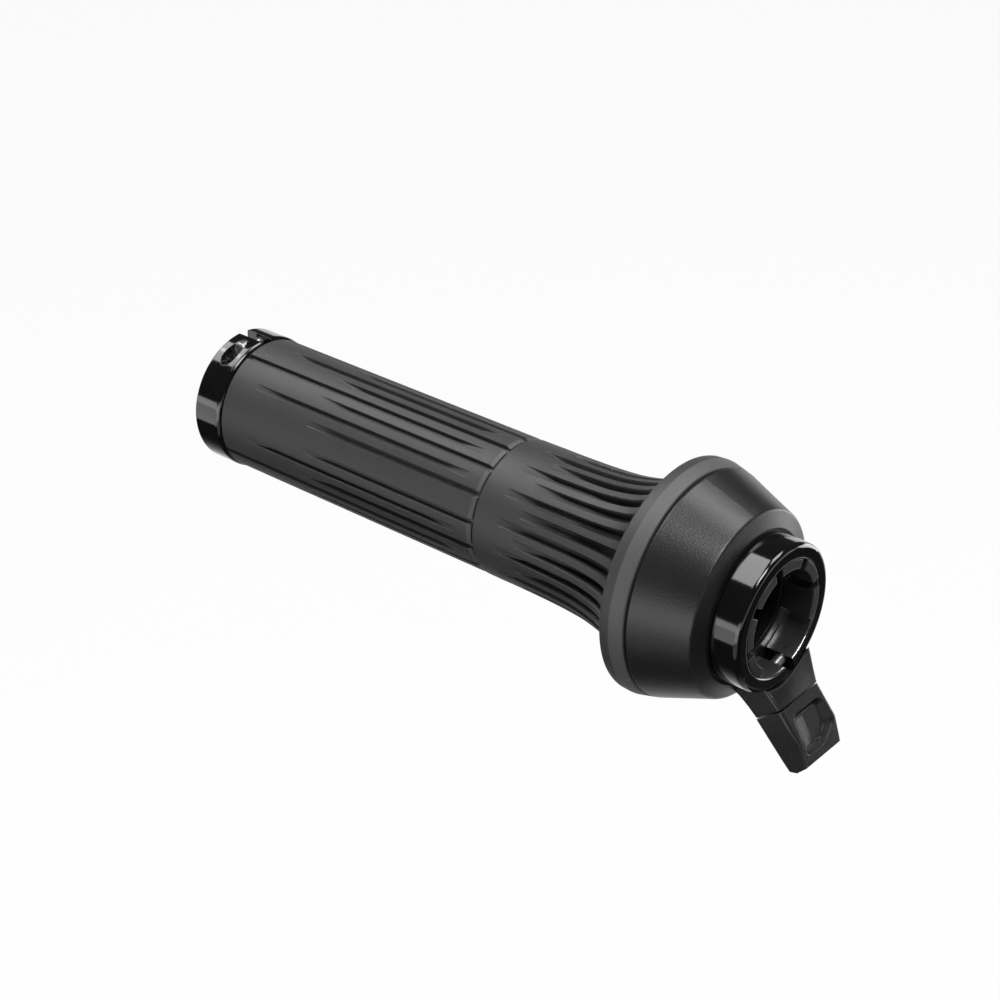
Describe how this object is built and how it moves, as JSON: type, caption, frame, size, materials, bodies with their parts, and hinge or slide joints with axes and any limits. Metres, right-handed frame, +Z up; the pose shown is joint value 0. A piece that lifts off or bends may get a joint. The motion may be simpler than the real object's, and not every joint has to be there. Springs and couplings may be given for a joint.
{
  "type": "suspension lockout remote",
  "caption": "Twist-grip lockout remote for the left end of a handlebar: clamp-on rubber grip, flared turning section, cable housing and a thumb lever that releases the lock.",
  "frame": {"origin": "on the handlebar axis, in the inboard face of the inner clamp's fingers", "axes": "+X along the handlebar towards the stem, -Y towards the rider, +Z up; the thumb lever hangs down"},
  "size_m": [0.1692, 0.0605, 0.0619],
  "materials": {
    "grip_rubber": "matte, fine moulded grain",
    "housing_plastic": "satin, fine texture",
    "inner_plastic": "smooth nylon",
    "clamp_metal": "gloss black anodised",
    "tube_metal": "satin black anodised",
    "bolt_steel": "bright turned",
    "spring_steel": "drawn wire"
  },
  "bodies": {
    "fixed": {"outer_clamp": "clamp_metal", "outer_clamp_bolt": "bolt_steel", "fixed_grip_rubber": "grip_rubber", "fixed_grip_core": "inner_plastic", "thrust_washer": "inner_plastic", "support_tube": "tube_metal", "support_tube_screws": "bolt_steel", "housing": "housing_plastic", "back_plate": "housing_plastic", "back_plate_screws": "bolt_steel", "return_spring": "spring_steel", "button_pin": "bolt_steel", "button_spring": "spring_steel", "inner_clamp": "clamp_metal", "inner_clamp_bolt": "bolt_steel", "cable_hatch": "housing_plastic", "hatch_screw": "bolt_steel", "cable_stop": "housing_plastic"},
    "twist": {"twist_grip_rubber": "grip_rubber", "twist_tube": "inner_plastic", "cable_drum": "inner_plastic"},
    "release": {"release_button": "housing_plastic", "latch_pawl": "bolt_steel"}
  },
  "joints": [
    {"name": "twist_turn", "type": "hinge", "parent": "fixed", "child": "twist", "pos_m": [-0.04, 0, 0], "axis": [1, 0, 0], "range_deg": [0, 35], "stiffness_Nm_per_rad": 0.25, "springref_deg": -17.19, "deforming": ["return_spring"]},
    {"name": "release_press", "type": "hinge", "parent": "fixed", "child": "release", "pos_m": [-0.00277, 0.00365, -0.02073], "axis": [0, 1, 0], "range_deg": [0, 5], "stiffness_Nm_per_rad": 0.3, "springref_deg": -8.59, "deforming": ["button_spring"]}
  ]
}
